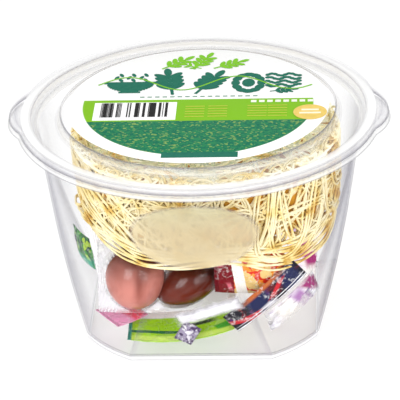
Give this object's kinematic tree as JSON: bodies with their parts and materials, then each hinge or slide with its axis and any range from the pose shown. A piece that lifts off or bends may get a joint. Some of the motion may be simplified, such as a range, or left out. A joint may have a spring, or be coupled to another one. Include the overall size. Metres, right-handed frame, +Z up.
{
  "type": "instant noodle cup",
  "caption": "Clear plastic tub with a push-on lid and round label, filled with a dried noodle cake, eggs in a pouch and seasoning sachets.",
  "frame": {"origin": "centre of the tub base's underside", "axes": "+X through the lid tabs, +Z up, -Y towards the side with the eggs"},
  "size_m": [0.1518, 0.1442, 0.0905],
  "materials": {
    "clear_tub": "clear gloss",
    "clear_lid": "clear gloss",
    "label_print": "satin print",
    "noodles": "dry matte",
    "pouch": "clear film over brown eggs",
    "film_green": "gloss film",
    "film_red": "gloss film",
    "film_dark": "gloss film",
    "film_clear": "clear film",
    "film_pink": "gloss film",
    "film_leafy": "gloss film",
    "film_pearl": "pearl film",
    "film_cream": "pearl film",
    "film_silver": "crumpled film",
    "film_white": "crumpled pearl film"
  },
  "bodies": {
    "root": {"tub": "clear_tub", "lid": "clear_lid", "label": "label_print", "noodle_cake": "noodles", "egg_pouch": "pouch", "sachet_green": "film_green", "sachet_red": "film_red", "sachet_dark": "film_dark", "sachet_clear": "film_clear", "sachet_pink": "film_pink", "sachet_leafy": "film_leafy", "sachet_pearl": "film_pearl", "sachet_cream": "film_cream", "sachet_silver": "film_silver", "sachet_white": "film_white"}
  },
  "joints": []
}
